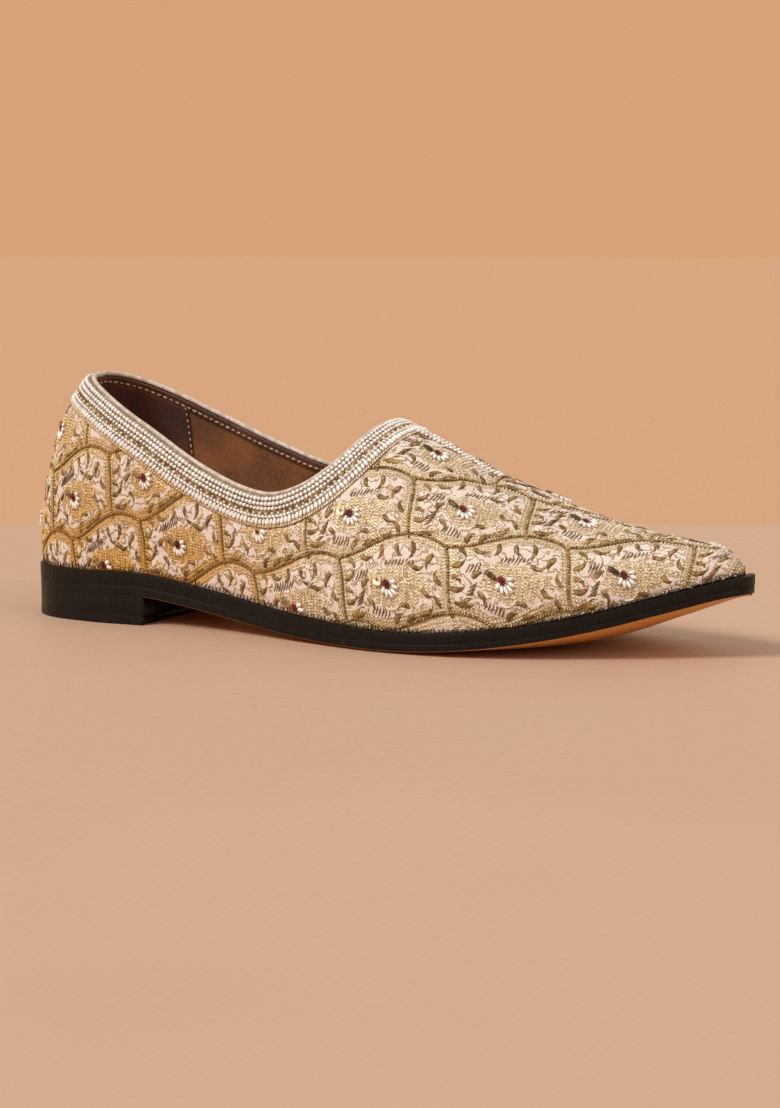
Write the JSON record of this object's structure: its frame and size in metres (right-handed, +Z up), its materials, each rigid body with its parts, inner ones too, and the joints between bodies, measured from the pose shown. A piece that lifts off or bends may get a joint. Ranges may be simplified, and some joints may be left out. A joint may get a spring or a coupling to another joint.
{
  "type": "mojari shoe",
  "caption": "Pointed slip-on cloth shoe with a low scooped collar, beaded collar band, thin leather sole lifted at the toe and a low block heel.",
  "frame": {"origin": "on the floor, at the middle of the shoe's length and width", "axes": "+X from the heel to the toe, +Y to the inner side of the foot, +Z up"},
  "size_m": [0.297, 0.097, 0.0968],
  "materials": {
    "brocade": "ivory and gold woven brocade, lined with suede",
    "bead_band": "rows of white beads and gold thread",
    "rolled_edge": "smooth white cord",
    "sock": "tan suede",
    "black_edge": "black edge paint, low sheen",
    "sole_leather": "tan sole leather, black at its edge",
    "heel_stack": "black edge paint, low sheen",
    "heel_tread": "matt black"
  },
  "bodies": {
    "root": {"upper": "brocade", "collar_band": "bead_band", "collar_roll": "rolled_edge", "insole": "sock", "midsole": "black_edge", "outsole": "sole_leather", "heel_block": "heel_stack", "heel_top_piece": "heel_tread"}
  },
  "joints": []
}
